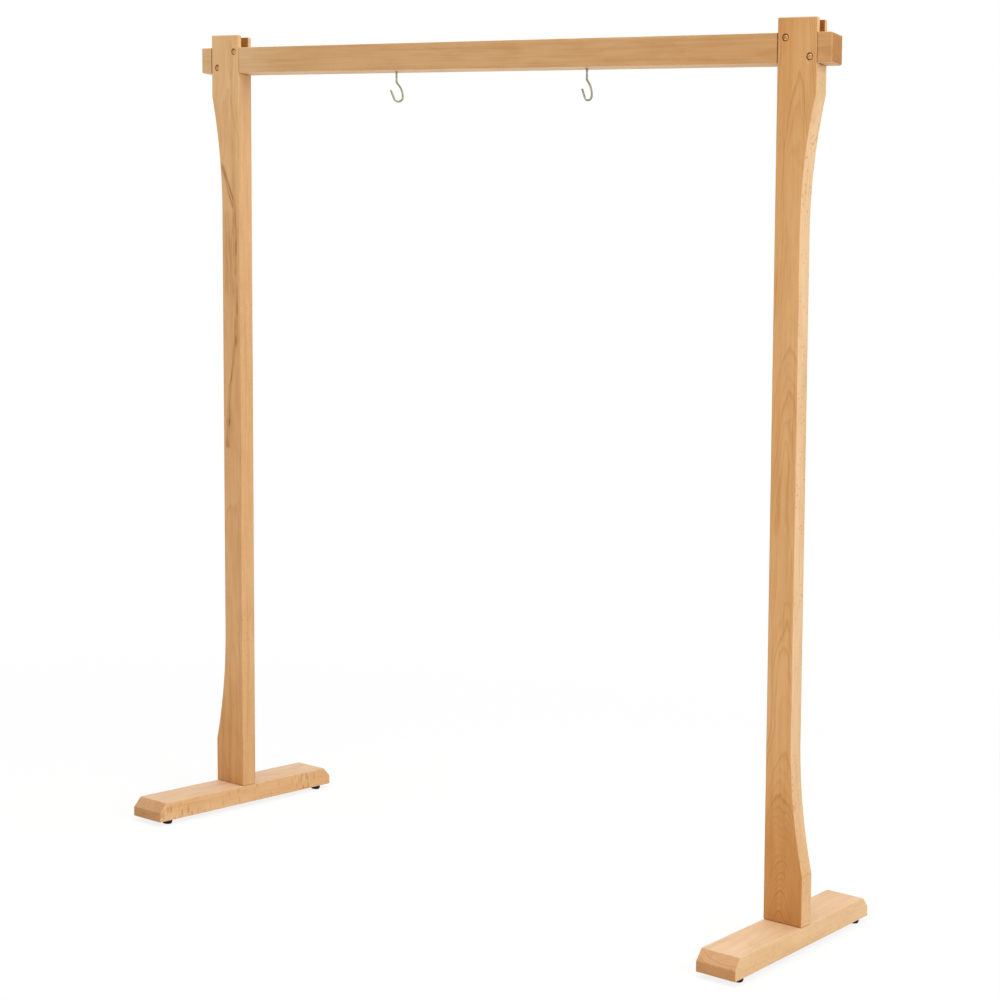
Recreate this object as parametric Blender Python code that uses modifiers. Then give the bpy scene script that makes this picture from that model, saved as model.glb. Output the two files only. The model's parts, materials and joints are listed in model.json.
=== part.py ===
"""Wooden gong stand.

Two upright posts, scooped along their outer sides, are bolted to cross feet that stand on
rubber pads. The posts end in open forks, and a crossbar with a housing cut front and back
at each post drops into them and is bolted through. Two screw hooks under the bar carry
the gong. X runs along the bar, Y along the feet with the front at -Y, and Z is up. The
origin is on the floor, midway between the posts.
"""
import math

import bmesh
import bpy
from mathutils import Matrix, Vector

for old in list(bpy.data.objects):
    bpy.data.objects.remove(old, do_unlink=True)

# Posts, in metres
POST_HEIGHT = 1.600
POST_WIDTH = 0.075
POST_DEPTH = 0.040
WAIST_WIDTH = 0.049
TOP_BLOCK = 0.128
BOTTOM_BLOCK = 0.092
SCOOP_RUN = 0.240
CLEAR_WIDTH = 1.240

# Crossbar and its seat in the forks
BAR_HEIGHT = 0.052
BAR_DEPTH = 0.040
BAR_OVERHANG = 0.030
WEB_THICKNESS = 0.020
HORN_RISE = 0.026
HOUSING_PLAY = 0.001

# Feet
FOOT_LENGTH = 0.550
FOOT_WIDTH = 0.075
FOOT_HEIGHT = 0.038
CHAMFER_RUN = 0.020
CHAMFER_DROP = 0.019

# Rubber pads and their screws
PAD_DIAMETER = 0.021
PAD_HEIGHT = 0.009
PAD_SIDE_INSET = 0.014
PAD_END_INSET = 0.035
PAD_RECESS = 0.004
PAD_LIP = 0.001
PAD_SCREW_DIAMETER = 0.0035
PAD_SCREW_HEAD = 0.008
PAD_SCREW_HEAD_HEIGHT = 0.0024
PAD_SCREW_BITE = 0.016
PAD_SCREW_POINT = 0.003

# Bar bolts and the sleeve nuts that they screw into
BAR_BOLT_DIAMETER = 0.006
BAR_BOLT_HEAD = 0.012
BAR_BOLT_HEAD_HEIGHT = 0.003
BAR_BOLT_SINK = 0.001
BAR_BOLT_EDGE = 0.0145
UPPER_BOLT_INSET = 0.0085
LOWER_BOLT_INSET = 0.0105
SLEEVE_WALL = 0.0013
SLEEVE_LENGTH = 0.018
BAR_SOCKET_FLATS = 0.004
BAR_SOCKET_DEPTH = 0.0016

# Foot bolts, their washers and the threaded inserts in the posts
FOOT_BOLT_DIAMETER = 0.008
FOOT_BOLT_HEAD = 0.013
FOOT_BOLT_HEAD_HEIGHT = 0.008
FOOT_BOLT_SINK = 0.002
FOOT_BOLT_SPACING = 0.036
FOOT_SOCKET_FLATS = 0.006
FOOT_SOCKET_DEPTH = 0.004
WASHER_DIAMETER = 0.020
WASHER_THICKNESS = 0.0016
INSERT_WALL = 0.0018
INSERT_LENGTH = 0.025
INSERT_RECESS = 0.001

# Screw hooks
HOOK_WIRE = 0.004
HOOK_SPACING = 0.443
HOOK_BITE = 0.022
HOOK_SHANK = 0.020
NECK_RADIUS = 0.004
NECK_TURN = math.radians(40)
SHOULDER_LENGTH = 0.006
FLANK_RADIUS = 0.035
BOWL_RADIUS = 0.0095
BOWL_TURN = math.radians(157)
TIP_LENGTH = 0.016
LEFT_HOOK_TURN = math.radians(21)
RIGHT_HOOK_TURN = math.radians(-12)

# Clearances and finish
SEAT_GAP = 0.0003
HOLE_PLAY = 0.0003
HEAD_PLAY = 0.0005
TIP_GAP = 0.002
EDGE_ROUND = 0.0015
ROUND_SIDES = 16
SCOOP_STEPS = 12
FLAT_ANGLE = math.radians(0.1)
OVERCUT = 0.005

# Levels and places that follow from the sizes
FOOT_BASE = PAD_HEIGHT + SEAT_GAP
FOOT_TOP = FOOT_BASE + FOOT_HEIGHT
POST_BASE = FOOT_TOP + SEAT_GAP
POST_TOP = POST_BASE + POST_HEIGHT
BAR_TOP = POST_TOP - HORN_RISE
BAR_BASE = BAR_TOP - BAR_HEIGHT
INNER_FACE = CLEAR_WIDTH / 2
POST_CENTRE = INNER_FACE + POST_WIDTH / 2
OUTER_FACE = INNER_FACE + POST_WIDTH
BAR_LENGTH = 2 * (OUTER_FACE + BAR_OVERHANG)
SIDES = {"left": -1, "right": 1}

STAND = bpy.data.collections.new("gong_stand")
CUTTERS = bpy.data.collections.new("cutters")
bpy.context.scene.collection.children.link(STAND)
bpy.context.scene.collection.children.link(CUTTERS)


def finish(name, colour, roughness, metallic=0.0):
    """A material of one colour for a piece."""
    material = bpy.data.materials.new(name)
    material.use_nodes = True
    shader = material.node_tree.nodes["Principled BSDF"]
    shader.inputs["Base Color"].default_value = (*colour, 1.0)
    shader.inputs["Roughness"].default_value = roughness
    shader.inputs["Metallic"].default_value = metallic
    return material


BEECH = ((0.58, 0.36, 0.17), 0.45)
BRASS = ((0.78, 0.57, 0.23), 0.25, 1.0)
STEEL = ((0.62, 0.62, 0.64), 0.35, 1.0)
RUBBER = ((0.02, 0.02, 0.02), 0.75)


def add_piece(name, mesh, look):
    """A named piece of the stand with a material of its own."""
    piece = bpy.data.objects.new(name, mesh)
    mesh.materials.append(finish(name, *look))
    STAND.objects.link(piece)
    return piece


def add_cutter(name, mesh):
    """A shape that only cuts others and isn't part of the stand."""
    cutter = bpy.data.objects.new(name, mesh)
    cutter.hide_render = True
    cutter.display_type = "WIRE"
    CUTTERS.objects.link(cutter)
    return cutter


def cut(target, cutter):
    """Take the cutter's shape out of the target."""
    boolean = target.modifiers.new("cut_" + cutter.name, "BOOLEAN")
    boolean.operation = "DIFFERENCE"
    boolean.solver = "EXACT"
    boolean.object = cutter


def round_edges(target):
    """Ease the sawn edges of a wooden piece, before its holes are cut."""
    bevel = target.modifiers.new("eased_edges", "BEVEL")
    bevel.width = EDGE_ROUND
    bevel.segments = 2
    bevel.limit_method = "ANGLE"
    bevel.angle_limit = math.radians(30)


def box_mesh(name, low, high):
    """A box between two corners."""
    mesh = bpy.data.meshes.new(name)
    shape = bmesh.new()
    bmesh.ops.create_cube(shape, size=1.0)
    size = Vector(high) - Vector(low)
    centre = (Vector(high) + Vector(low)) / 2
    placed = Matrix.Translation(centre) @ Matrix.Diagonal((*size, 1.0))
    bmesh.ops.transform(shape, matrix=placed, verts=shape.verts)
    shape.to_mesh(mesh)
    shape.free()
    return mesh


def outline_mesh(name, points, thickness):
    """A flat outline in XY, thickened evenly to both sides along Z."""
    curve = bpy.data.curves.new(name, "CURVE")
    curve.dimensions = "2D"
    curve.fill_mode = "BOTH"
    curve.extrude = thickness / 2
    spline = curve.splines.new("POLY")
    spline.points.add(len(points) - 1)
    for point, (x, y) in zip(spline.points, points):
        point.co = (x, y, 0.0, 1.0)
    spline.use_cyclic_u = True
    return mesh_from_curve(name, curve)


def wire_mesh(name, points, diameter):
    """A round wire through points, closed at both ends."""
    curve = bpy.data.curves.new(name, "CURVE")
    curve.dimensions = "3D"
    curve.bevel_depth = diameter / 2
    curve.bevel_resolution = 2
    curve.use_fill_caps = True
    spline = curve.splines.new("POLY")
    spline.points.add(len(points) - 1)
    for point, (x, y, z) in zip(spline.points, points):
        point.co = (x, y, z, 1.0)
    return mesh_from_curve(name, curve)


def mesh_from_curve(name, curve):
    """The evaluated curve as a welded mesh."""
    guide = bpy.data.objects.new(name + "_curve", curve)
    CUTTERS.objects.link(guide)
    evaluated = guide.evaluated_get(bpy.context.evaluated_depsgraph_get())
    mesh = bpy.data.meshes.new_from_object(evaluated)
    bpy.data.objects.remove(guide, do_unlink=True)
    mesh.name = name
    mesh.materials.clear()
    shape = bmesh.new()
    shape.from_mesh(mesh)
    bmesh.ops.remove_doubles(shape, verts=shape.verts, dist=0.00001)
    bmesh.ops.dissolve_limit(shape, angle_limit=FLAT_ANGLE, verts=shape.verts, edges=shape.edges)
    bmesh.ops.recalc_face_normals(shape, faces=shape.faces)
    shape.to_mesh(mesh)
    shape.free()
    return mesh


def profile_mesh(name, points, closed):
    """A profile of (radius, height) points in the XZ plane, to be turned about Z."""
    mesh = bpy.data.meshes.new(name)
    count = len(points)
    edges = [(i, i + 1) for i in range(count - 1)]
    if closed:
        edges.append((count - 1, 0))
    mesh.from_pydata([(radius, 0.0, height) for radius, height in points], edges, [])
    return mesh


def turn(target):
    """Turn a profile about its own Z axis into a solid."""
    screw = target.modifiers.new("turned", "SCREW")
    screw.axis = "Z"
    screw.angle = 2 * math.pi
    screw.steps = ROUND_SIDES
    screw.render_steps = ROUND_SIDES
    screw.use_merge_vertices = True
    screw.merge_threshold = 0.00001
    screw.use_smooth_shade = False


def turned_piece(name, points, look, closed=False):
    """A turned piece from its profile, which runs down the outer side."""
    piece = add_piece(name, profile_mesh(name, points, closed), look)
    turn(piece)
    return piece


def turned_cutter(name, points):
    """A stepped round hole as a cutter."""
    cutter = add_cutter(name, profile_mesh(name, points, False))
    turn(cutter)
    return cutter


def cut_hex_socket(target, flats, depth):
    """A hexagon socket down from the target's head, whose face is at its local zero."""
    name = target.name + "_socket"
    mesh = bpy.data.meshes.new(name)
    shape = bmesh.new()
    corner_radius = flats / math.sqrt(3)
    place = Matrix.Translation((0, 0, (OVERCUT - depth) / 2))
    bmesh.ops.create_cone(shape, cap_ends=True, segments=6, radius1=corner_radius, radius2=corner_radius,
                          depth=OVERCUT + depth, matrix=place)
    shape.to_mesh(mesh)
    shape.free()
    cutter = add_cutter(name, mesh)
    cutter.location = target.location
    cutter.rotation_euler = target.rotation_euler
    cut(target, cutter)


# Posts
FORK_SLOT = WEB_THICKNESS + 2 * SEAT_GAP
FORK_FLOOR = BAR_BASE - SEAT_GAP
SCOOP_DEPTH = POST_WIDTH - WAIST_WIDTH
SCOOP_RADIUS = (SCOOP_RUN ** 2 + SCOOP_DEPTH ** 2) / (2 * SCOOP_DEPTH)
SCOOP_ANGLE = math.asin(SCOOP_RUN / SCOOP_RADIUS)


def scoop_arc(waist_end, direction):
    """Points from a straight block down into the waist, where the arc runs out upright."""
    arc = []
    for step in range(SCOOP_STEPS + 1):
        angle = SCOOP_ANGLE * (1 - step / SCOOP_STEPS)
        width = WAIST_WIDTH + SCOOP_RADIUS * (1 - math.cos(angle))
        arc.append((width, waist_end + direction * SCOOP_RADIUS * math.sin(angle)))
    return arc


def post_outline(side):
    """The post's front, from its inner edge outwards, with the scoop in its outer side."""
    upper = scoop_arc(POST_HEIGHT - TOP_BLOCK - SCOOP_RUN, 1)
    lower = scoop_arc(BOTTOM_BLOCK + SCOOP_RUN, -1)
    points = [(0, 0), (0, POST_HEIGHT), (POST_WIDTH, POST_HEIGHT)]
    points += upper + lower[::-1]
    points.append((POST_WIDTH, 0))
    return [(side * x, z) for x, z in points]


posts = {}
for side_name, side in SIDES.items():
    name = side_name + "_post"
    post = add_piece(name, outline_mesh(name, post_outline(side), POST_DEPTH), BEECH)
    post.location = (side * INNER_FACE, 0, POST_BASE)
    post.rotation_euler = (math.pi / 2, 0, 0)
    round_edges(post)
    low = (POST_CENTRE * side - POST_WIDTH, -FORK_SLOT / 2, FORK_FLOOR)
    high = (POST_CENTRE * side + POST_WIDTH, FORK_SLOT / 2, POST_TOP + OVERCUT)
    cut(post, add_cutter(side_name + "_fork_slot", box_mesh(side_name + "_fork_slot", low, high)))
    posts[side_name] = post

# Crossbar, with a housing front and back for each fork
bar_corner = Vector((BAR_LENGTH / 2, BAR_DEPTH / 2, 0))
bar_low = (-bar_corner.x, -bar_corner.y, BAR_BASE)
bar_high = (bar_corner.x, bar_corner.y, BAR_TOP)
crossbar_mesh = box_mesh("crossbar", bar_low, bar_high)
crossbar = add_piece("crossbar", crossbar_mesh, BEECH)
round_edges(crossbar)
for side_name, side in SIDES.items():
    for face_name, face in (("front", -1), ("rear", 1)):
        ends_x = sorted((side * (INNER_FACE - HOUSING_PLAY), side * (OUTER_FACE + HOUSING_PLAY)))
        ends_y = sorted((face * WEB_THICKNESS / 2, face * (BAR_DEPTH / 2 + OVERCUT)))
        low = (ends_x[0], ends_y[0], BAR_BASE - OVERCUT)
        high = (ends_x[1], ends_y[1], BAR_TOP + OVERCUT)
        name = f"{side_name}_{face_name}_housing"
        cut(crossbar, add_cutter(name, box_mesh(name, low, high)))

# Bar bolts from the front and sleeve nuts from the back, through fork and bar
BOLT_RADIUS = BAR_BOLT_DIAMETER / 2
BOLT_HEAD_RADIUS = BAR_BOLT_HEAD / 2
SLEEVE_BORE = BOLT_RADIUS + HOLE_PLAY
SLEEVE_RADIUS = SLEEVE_BORE + SLEEVE_WALL
HEAD_POCKET = BAR_BOLT_SINK + BAR_BOLT_HEAD_HEIGHT + SEAT_GAP
SLEEVE_END = BAR_BOLT_HEAD_HEIGHT + SLEEVE_LENGTH
BOLT_REACH = POST_DEPTH - 2 * BAR_BOLT_SINK - BAR_BOLT_HEAD_HEIGHT - TIP_GAP
SLEEVE_MOUTH = POST_DEPTH - BAR_BOLT_SINK - SLEEVE_END - SEAT_GAP

BOLT_PROFILE = [
    (0, 0),
    (BOLT_HEAD_RADIUS, 0),
    (BOLT_HEAD_RADIUS, -BAR_BOLT_HEAD_HEIGHT),
    (BOLT_RADIUS, -BAR_BOLT_HEAD_HEIGHT),
    (BOLT_RADIUS, -BOLT_REACH),
    (0, -BOLT_REACH),
]
SLEEVE_PROFILE = [
    (0, 0),
    (BOLT_HEAD_RADIUS, 0),
    (BOLT_HEAD_RADIUS, -BAR_BOLT_HEAD_HEIGHT),
    (SLEEVE_RADIUS, -BAR_BOLT_HEAD_HEIGHT),
    (SLEEVE_RADIUS, -SLEEVE_END),
    (SLEEVE_BORE, -SLEEVE_END),
    (SLEEVE_BORE, -BAR_BOLT_HEAD_HEIGHT),
    (0, -BAR_BOLT_HEAD_HEIGHT),
]
BOLT_HOLE = [
    (0, OVERCUT),
    (BOLT_HEAD_RADIUS + HEAD_PLAY, OVERCUT),
    (BOLT_HEAD_RADIUS + HEAD_PLAY, -HEAD_POCKET),
    (BOLT_RADIUS + HOLE_PLAY, -HEAD_POCKET),
    (BOLT_RADIUS + HOLE_PLAY, -SLEEVE_MOUTH),
    (SLEEVE_RADIUS + HOLE_PLAY, -SLEEVE_MOUTH),
    (SLEEVE_RADIUS + HOLE_PLAY, HEAD_POCKET - POST_DEPTH),
    (BOLT_HEAD_RADIUS + HEAD_PLAY, HEAD_POCKET - POST_DEPTH),
    (BOLT_HEAD_RADIUS + HEAD_PLAY, -POST_DEPTH - OVERCUT),
    (0, -POST_DEPTH - OVERCUT),
]
FACING_FRONT = (math.pi / 2, 0, 0)
FACING_REAR = (-math.pi / 2, 0, 0)
BOLT_PLACES = {
    "upper": (INNER_FACE + BAR_BOLT_EDGE, BAR_TOP - UPPER_BOLT_INSET),
    "lower": (OUTER_FACE - BAR_BOLT_EDGE, BAR_BASE + LOWER_BOLT_INSET),
}

for side_name, side in SIDES.items():
    for level, (offset, height) in BOLT_PLACES.items():
        prefix = f"{side_name}_{level}_"
        hole = turned_cutter(prefix + "bolt_hole", BOLT_HOLE)
        hole.location = (side * offset, -POST_DEPTH / 2, height)
        hole.rotation_euler = FACING_FRONT
        cut(posts[side_name], hole)
        cut(crossbar, hole)
        bolt = turned_piece(prefix + "bar_bolt", BOLT_PROFILE, BRASS)
        bolt.location = (side * offset, BAR_BOLT_SINK - POST_DEPTH / 2, height)
        bolt.rotation_euler = FACING_FRONT
        cut_hex_socket(bolt, BAR_SOCKET_FLATS, BAR_SOCKET_DEPTH)
        nut = turned_piece(prefix + "sleeve_nut", SLEEVE_PROFILE, BRASS)
        nut.location = (side * offset, POST_DEPTH / 2 - BAR_BOLT_SINK, height)
        nut.rotation_euler = FACING_REAR
        cut_hex_socket(nut, BAR_SOCKET_FLATS, BAR_SOCKET_DEPTH)

# Feet, as side outlines in (length, height) thickened across the foot
FOOT_OUTLINE = [
    (-FOOT_LENGTH / 2, 0),
    (FOOT_LENGTH / 2, 0),
    (FOOT_LENGTH / 2, FOOT_HEIGHT - CHAMFER_DROP),
    (FOOT_LENGTH / 2 - CHAMFER_RUN, FOOT_HEIGHT),
    (CHAMFER_RUN - FOOT_LENGTH / 2, FOOT_HEIGHT),
    (-FOOT_LENGTH / 2, FOOT_HEIGHT - CHAMFER_DROP),
]

feet = {}
for side_name, side in SIDES.items():
    name = side_name + "_foot"
    foot = add_piece(name, outline_mesh(name, FOOT_OUTLINE, FOOT_WIDTH), BEECH)
    foot.location = (side * POST_CENTRE, 0, FOOT_BASE)
    foot.rotation_euler = (math.pi / 2, 0, math.pi / 2)
    round_edges(foot)
    feet[side_name] = foot

# Foot bolts with washers, up through the foot into inserts in the post's end
FOOT_BOLT_RADIUS = FOOT_BOLT_DIAMETER / 2
INSERT_BORE = FOOT_BOLT_RADIUS + HOLE_PLAY
INSERT_RADIUS = INSERT_BORE + INSERT_WALL
INSERT_BASE = POST_BASE + INSERT_RECESS
WASHER_BASE = FOOT_BASE + FOOT_BOLT_SINK + FOOT_BOLT_HEAD_HEIGHT + SEAT_GAP
POCKET_TOP = WASHER_BASE + WASHER_THICKNESS + SEAT_GAP
HEAD_FACE = FOOT_BASE + FOOT_BOLT_SINK
FOOT_BOLT_REACH = INSERT_BASE + INSERT_LENGTH - TIP_GAP - HEAD_FACE
UPSIDE_DOWN = (math.pi, 0, 0)

FOOT_BOLT_PROFILE = [
    (0, 0),
    (FOOT_BOLT_HEAD / 2, 0),
    (FOOT_BOLT_HEAD / 2, -FOOT_BOLT_HEAD_HEIGHT),
    (FOOT_BOLT_RADIUS, -FOOT_BOLT_HEAD_HEIGHT),
    (FOOT_BOLT_RADIUS, -FOOT_BOLT_REACH),
    (0, -FOOT_BOLT_REACH),
]
WASHER_PROFILE = [
    (FOOT_BOLT_RADIUS + HOLE_PLAY, WASHER_THICKNESS),
    (WASHER_DIAMETER / 2, WASHER_THICKNESS),
    (WASHER_DIAMETER / 2, 0),
    (FOOT_BOLT_RADIUS + HOLE_PLAY, 0),
]
INSERT_PROFILE = [
    (INSERT_BORE, INSERT_LENGTH),
    (INSERT_RADIUS, INSERT_LENGTH),
    (INSERT_RADIUS, 0),
    (INSERT_BORE, 0),
]
HOLE_TOP = INSERT_BASE + INSERT_LENGTH + SEAT_GAP
FOOT_BOLT_HOLE = [
    (0, HOLE_TOP),
    (INSERT_RADIUS + HOLE_PLAY, HOLE_TOP),
    (INSERT_RADIUS + HOLE_PLAY, FOOT_TOP + SEAT_GAP / 2),
    (FOOT_BOLT_RADIUS + HOLE_PLAY, FOOT_TOP + SEAT_GAP / 2),
    (FOOT_BOLT_RADIUS + HOLE_PLAY, POCKET_TOP),
    (WASHER_DIAMETER / 2 + HEAD_PLAY, POCKET_TOP),
    (WASHER_DIAMETER / 2 + HEAD_PLAY, FOOT_BASE - OVERCUT),
    (0, FOOT_BASE - OVERCUT),
]

for side_name, side in SIDES.items():
    for place_name, place in (("inner", -1), ("outer", 1)):
        x = side * (POST_CENTRE + place * FOOT_BOLT_SPACING / 2)
        prefix = f"{side_name}_{place_name}_"
        hole = turned_cutter(prefix + "foot_bolt_hole", FOOT_BOLT_HOLE)
        hole.location = (x, 0, 0)
        cut(feet[side_name], hole)
        cut(posts[side_name], hole)
        bolt = turned_piece(prefix + "foot_bolt", FOOT_BOLT_PROFILE, STEEL)
        bolt.location = (x, 0, HEAD_FACE)
        bolt.rotation_euler = UPSIDE_DOWN
        cut_hex_socket(bolt, FOOT_SOCKET_FLATS, FOOT_SOCKET_DEPTH)
        washer = turned_piece(prefix + "foot_washer", WASHER_PROFILE, STEEL, closed=True)
        washer.location = (x, 0, WASHER_BASE)
        insert = turned_piece(prefix + "post_insert", INSERT_PROFILE, BRASS, closed=True)
        insert.location = (x, 0, INSERT_BASE)

# Rubber pads under the feet, each with a screw sunk in its underside
PAD_RADIUS = PAD_DIAMETER / 2
PAD_SCREW_RADIUS = PAD_SCREW_DIAMETER / 2
PAD_HOLE = PAD_SCREW_RADIUS + HOLE_PLAY
PAD_POCKET = PAD_SCREW_HEAD / 2 + HEAD_PLAY
SCREW_FACE = PAD_RECESS - SEAT_GAP - PAD_SCREW_HEAD_HEIGHT
SCREW_REACH = FOOT_BASE + PAD_SCREW_BITE - SCREW_FACE

PAD_PROFILE = [
    (PAD_HOLE, PAD_HEIGHT),
    (PAD_RADIUS, PAD_HEIGHT),
    (PAD_RADIUS, PAD_LIP),
    (PAD_RADIUS - PAD_LIP, 0),
    (PAD_POCKET, 0),
    (PAD_POCKET, PAD_RECESS),
    (PAD_HOLE, PAD_RECESS),
]
PAD_SCREW_PROFILE = [
    (0, 0),
    (PAD_SCREW_HEAD / 2, 0),
    (PAD_SCREW_HEAD / 2, -PAD_SCREW_HEAD_HEIGHT),
    (PAD_SCREW_RADIUS, -PAD_SCREW_HEAD_HEIGHT),
    (PAD_SCREW_RADIUS, PAD_SCREW_POINT - SCREW_REACH),
    (0, -SCREW_REACH),
]
PILOT_TOP = FOOT_BASE + PAD_SCREW_BITE + SEAT_GAP
PAD_PILOT_HOLE = [
    (0, PILOT_TOP),
    (PAD_HOLE, PILOT_TOP),
    (PAD_HOLE, FOOT_BASE - OVERCUT),
    (0, FOOT_BASE - OVERCUT),
]

for side_name, side in SIDES.items():
    for end_name, end in (("front", -1), ("rear", 1)):
        for edge_name, edge in (("inner", -1), ("outer", 1)):
            x = side * (POST_CENTRE + edge * (FOOT_WIDTH / 2 - PAD_SIDE_INSET))
            y = end * (FOOT_LENGTH / 2 - PAD_END_INSET)
            prefix = f"{side_name}_{end_name}_{edge_name}_"
            pad = turned_piece(prefix + "pad", PAD_PROFILE, RUBBER, closed=True)
            pad.location = (x, y, 0)
            screw = turned_piece(prefix + "pad_screw", PAD_SCREW_PROFILE, STEEL)
            screw.location = (x, y, SCREW_FACE)
            screw.rotation_euler = UPSIDE_DOWN
            pilot = turned_cutter(prefix + "pad_pilot", PAD_PILOT_HOLE)
            pilot.location = (x, y, 0)
            cut(feet[side_name], pilot)

# Screw hooks, drawn from the screw's point down the shank, round the bowl and out at the tip
ARC_STEP = math.radians(15)


def hook_path():
    """Points of the hook in its own plane; heading is measured from straight down."""
    along = 0.0
    height = HOOK_BITE
    heading = 0.0
    points = [(along, 0.0, height)]
    runs = (
        (HOOK_BITE + HOOK_SHANK, NECK_RADIUS, NECK_TURN),
        (SHOULDER_LENGTH, FLANK_RADIUS, -NECK_TURN),
        (0.0, BOWL_RADIUS, -BOWL_TURN),
        (TIP_LENGTH, 0.0, 0.0),
    )
    for length, radius, angle in runs:
        along += length * math.sin(heading)
        height -= length * math.cos(heading)
        if length:
            points.append((along, 0.0, height))
        steps = math.ceil(abs(angle) / ARC_STEP)
        signed = math.copysign(radius, angle)
        for step in range(1, steps + 1):
            turned = heading + angle * step / steps
            x = along + signed * (math.cos(heading) - math.cos(turned))
            z = height - signed * (math.sin(turned) - math.sin(heading))
            points.append((x, 0.0, z))
        along, height = points[-1][0], points[-1][2]
        heading += angle
    return points


HOOK_HOLE_RADIUS = HOOK_WIRE / 2 + HOLE_PLAY
HOOK_PILOT = [
    (0, HOOK_BITE + SEAT_GAP),
    (HOOK_HOLE_RADIUS, HOOK_BITE + SEAT_GAP),
    (HOOK_HOLE_RADIUS, -OVERCUT),
    (0, -OVERCUT),
]
HOOK_TURNS = {"left": LEFT_HOOK_TURN, "right": RIGHT_HOOK_TURN}

for side_name, side in SIDES.items():
    name = side_name + "_hook"
    hook = add_piece(name, wire_mesh(name, hook_path(), HOOK_WIRE), BRASS)
    hook.location = (side * HOOK_SPACING / 2, 0, BAR_BASE)
    hook.rotation_euler = (0, 0, HOOK_TURNS[side_name])
    hook.data.shade_smooth()
    pilot = turned_cutter(side_name + "_hook_pilot", HOOK_PILOT)
    pilot.location = hook.location
    cut(crossbar, pilot)
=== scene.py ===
"""Looks of the wooden gong stand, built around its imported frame.

The file follows the stand as it is put together: feet, pads, posts, foot bolts, crossbar, bar
bolts and hooks. Lengths are in metres, +Z is up, X runs along the crossbar and the front is at -Y.
"""
import json
import math

import bmesh
import bpy
from mathutils import Euler, Matrix, Vector


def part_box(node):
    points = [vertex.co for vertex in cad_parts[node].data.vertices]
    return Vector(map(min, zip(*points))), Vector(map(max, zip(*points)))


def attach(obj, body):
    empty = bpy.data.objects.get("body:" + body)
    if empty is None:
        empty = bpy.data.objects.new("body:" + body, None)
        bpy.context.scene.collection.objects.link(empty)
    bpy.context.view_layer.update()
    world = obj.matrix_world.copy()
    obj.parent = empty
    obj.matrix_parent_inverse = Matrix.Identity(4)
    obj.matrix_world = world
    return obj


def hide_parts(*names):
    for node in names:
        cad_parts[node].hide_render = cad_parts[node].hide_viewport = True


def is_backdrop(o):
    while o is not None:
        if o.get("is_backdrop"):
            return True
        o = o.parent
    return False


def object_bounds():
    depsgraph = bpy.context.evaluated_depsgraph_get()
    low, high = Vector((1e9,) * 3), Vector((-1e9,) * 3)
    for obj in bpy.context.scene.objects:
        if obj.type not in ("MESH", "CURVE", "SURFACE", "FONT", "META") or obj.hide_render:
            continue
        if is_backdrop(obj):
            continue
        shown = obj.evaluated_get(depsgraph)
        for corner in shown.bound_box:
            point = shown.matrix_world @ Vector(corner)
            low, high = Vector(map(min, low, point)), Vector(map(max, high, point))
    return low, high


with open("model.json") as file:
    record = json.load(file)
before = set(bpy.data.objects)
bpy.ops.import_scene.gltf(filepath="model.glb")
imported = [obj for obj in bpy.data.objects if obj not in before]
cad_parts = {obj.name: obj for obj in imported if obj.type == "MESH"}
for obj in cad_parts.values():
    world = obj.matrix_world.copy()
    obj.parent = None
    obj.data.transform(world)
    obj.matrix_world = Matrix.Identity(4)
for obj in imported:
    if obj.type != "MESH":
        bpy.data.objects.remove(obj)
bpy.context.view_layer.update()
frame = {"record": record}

# Camera. The photograph was taken from the right front at chest height, and then skewed
# upwards to the right so that the posts stand straight. The rig repeats that skew.
PHOTO_SIZE = 1000
FOCAL_PIXELS = 1925.0
SENSOR_WIDTH = 36.0
CAMERA_PLACE = (2.1263, -3.1093, 1.0551)
CAMERA_AZIMUTH = math.radians(33.975)
CAMERA_DIP = math.radians(4.792)
CAMERA_ROLL = math.radians(0.265)
PICTURE_SKEW = 0.0722

scene = bpy.context.scene
scene.view_settings.view_transform = "Standard"

camera_data = bpy.data.cameras.new("photo_camera")
camera_data.sensor_width = SENSOR_WIDTH
camera_data.lens = SENSOR_WIDTH * FOCAL_PIXELS / PHOTO_SIZE
camera = bpy.data.objects.new("photo_camera", camera_data)
camera_rig = bpy.data.objects.new("camera_rig", None)
scene.collection.objects.link(camera)
scene.collection.objects.link(camera_rig)
turn_left = Matrix.Rotation(CAMERA_AZIMUTH, 4, "Z")
look_down = Matrix.Rotation(math.pi / 2 - CAMERA_DIP, 4, "X")
lean_over = Matrix.Rotation(CAMERA_ROLL, 4, "Z")
camera_rig.matrix_world = Matrix.Translation(CAMERA_PLACE) @ turn_left @ look_down @ lean_over
camera.parent = camera_rig
camera.matrix_parent_inverse = Matrix(((1, 0, 0, 0), (PICTURE_SKEW, 1, 0, 0), (0, 0, 1, 0), (0, 0, 0, 1)))
scene.camera = camera


# Studio. A pale floor runs out of sight, a large soft lamp stands to the right, and another
# hangs overhead. Seen directly or in metal, floor and surroundings are white.
FLOOR_SIZE = 60.0
FLOOR_COLOUR = (0.92, 0.92, 0.91, 1.0)
FLOOR_WHITENING = 0.84
FLOOR_FADE_FROM = 0.7
FLOOR_FADE_TO = 3.0
SKY_LIGHT = 0.46
KEY_POWER = 80.0
KEY_PLACE = (4.4, -0.9, 2.5)
KEY_SIZE = 2.6
TOP_POWER = 156.0
TOP_PLACE = (0.3, -0.2, 4.6)
TOP_SIZE = 4.0
AIM_POINT = Vector((0.0, 0.0, 0.8))


def add_node(tree, kind, inputs=None, **settings):
    """A node with its settings and inputs; an input is a plain value or another node's socket."""
    node = tree.nodes.new(kind)
    for key, value in settings.items():
        setattr(node, key, value)
    for key, value in (inputs or {}).items():
        if isinstance(value, bpy.types.NodeSocket):
            tree.links.new(value, node.inputs[key])
        else:
            node.inputs[key].default_value = value
    return node


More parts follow.
